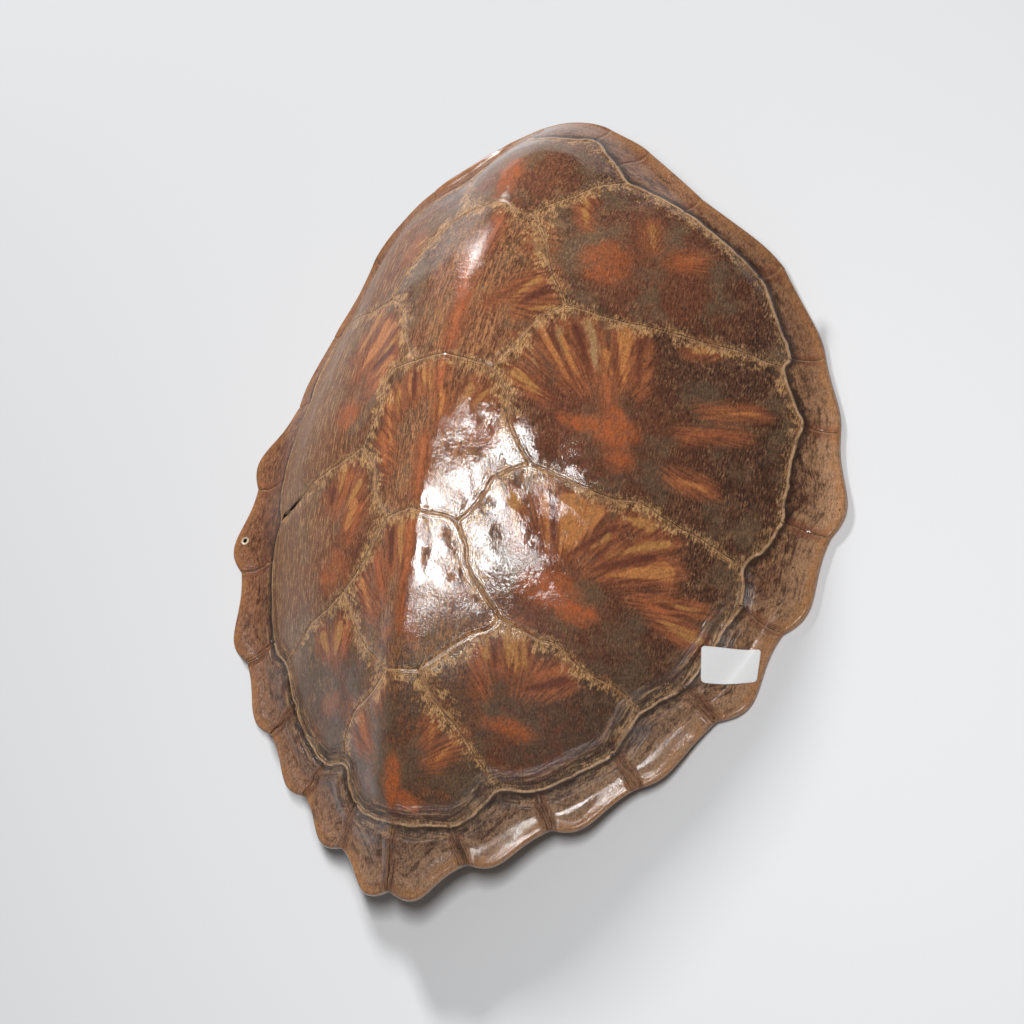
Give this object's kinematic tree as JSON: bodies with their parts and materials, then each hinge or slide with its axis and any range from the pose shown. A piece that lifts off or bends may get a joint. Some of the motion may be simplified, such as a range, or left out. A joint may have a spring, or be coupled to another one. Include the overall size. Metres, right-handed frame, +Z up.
{
  "type": "sea turtle shell",
  "caption": "Varnished upper shell of a green turtle: a keeled dome of horny scutes with a scalloped rim, hollow below, lying on its rim.",
  "frame": {"origin": "middle of the shell's box, on the plane that its rim rests on", "axes": "+Y towards the head end, +X towards the animal's right, +Z up through the crown"},
  "size_m": [0.4022, 0.4868, 0.1392],
  "materials": {
    "varnished_scute": "brown mottled keratin under clear varnish",
    "label_paper": "white coated paper"
  },
  "bodies": {
    "root": {"carapace": "varnished_scute", "paper_label": "label_paper"}
  },
  "joints": []
}
